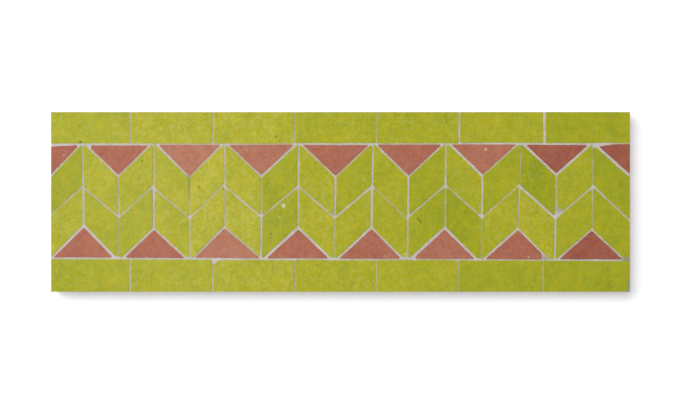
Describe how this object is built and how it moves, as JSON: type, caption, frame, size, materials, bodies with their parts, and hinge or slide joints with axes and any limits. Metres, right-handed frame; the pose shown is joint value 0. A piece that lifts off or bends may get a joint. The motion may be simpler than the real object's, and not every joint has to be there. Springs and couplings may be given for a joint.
{
  "type": "zellige mosaic border panel",
  "caption": "Rectangular zellige border panel: lime-glazed leaves laid as chevrons between terracotta triangles, with glazed bars along both long edges, set in pale mortar.",
  "frame": {"origin": "centre of the panel's flat back", "axes": "+X along the panel, +Y across it towards the upper edge, +Z out of the glazed face"},
  "size_m": [0.3612, 0.1122, 0.018],
  "materials": {
    "lime_glaze": "glossy hand-dipped lime green glaze, mottled and pitted, on terracotta",
    "terracotta": "satin terracotta pink glaze on terracotta",
    "mortar": "pale sandy mortar, matt"
  },
  "bodies": {
    "root": {"bottom_bar_1": "lime_glaze", "bottom_bar_2": "lime_glaze", "bottom_bar_3": "lime_glaze", "bottom_bar_4": "lime_glaze", "bottom_bar_5": "lime_glaze", "bottom_bar_6": "lime_glaze", "bottom_bar_7": "lime_glaze", "lower_chevron_1": "lime_glaze", "lower_chevron_2": "lime_glaze", "lower_chevron_3": "lime_glaze", "lower_chevron_4": "lime_glaze", "lower_chevron_5": "lime_glaze", "lower_chevron_6": "lime_glaze", "lower_chevron_7": "lime_glaze", "lower_chevron_8": "lime_glaze", "lower_triangle_1": "terracotta", "lower_triangle_2": "terracotta", "lower_triangle_3": "terracotta", "lower_triangle_4": "terracotta", "lower_triangle_5": "terracotta", "lower_triangle_6": "terracotta", "lower_triangle_7": "terracotta", "lower_triangle_8": "terracotta", "mortar_bed": "mortar", "top_bar_1": "lime_glaze", "top_bar_2": "lime_glaze", "top_bar_3": "lime_glaze", "top_bar_4": "lime_glaze", "top_bar_5": "lime_glaze", "top_bar_6": "lime_glaze", "top_bar_7": "lime_glaze", "upper_chevron_1": "lime_glaze", "upper_chevron_2": "lime_glaze", "upper_chevron_3": "lime_glaze", "upper_chevron_4": "lime_glaze", "upper_chevron_5": "lime_glaze", "upper_chevron_6": "lime_glaze", "upper_chevron_7": "lime_glaze", "upper_chevron_8": "lime_glaze", "upper_chevron_9": "lime_glaze", "upper_triangle_1": "terracotta", "upper_triangle_2": "terracotta", "upper_triangle_3": "terracotta", "upper_triangle_4": "terracotta", "upper_triangle_5": "terracotta", "upper_triangle_6": "terracotta", "upper_triangle_7": "terracotta", "upper_triangle_8": "terracotta", "upper_triangle_9": "terracotta"}
  },
  "joints": []
}
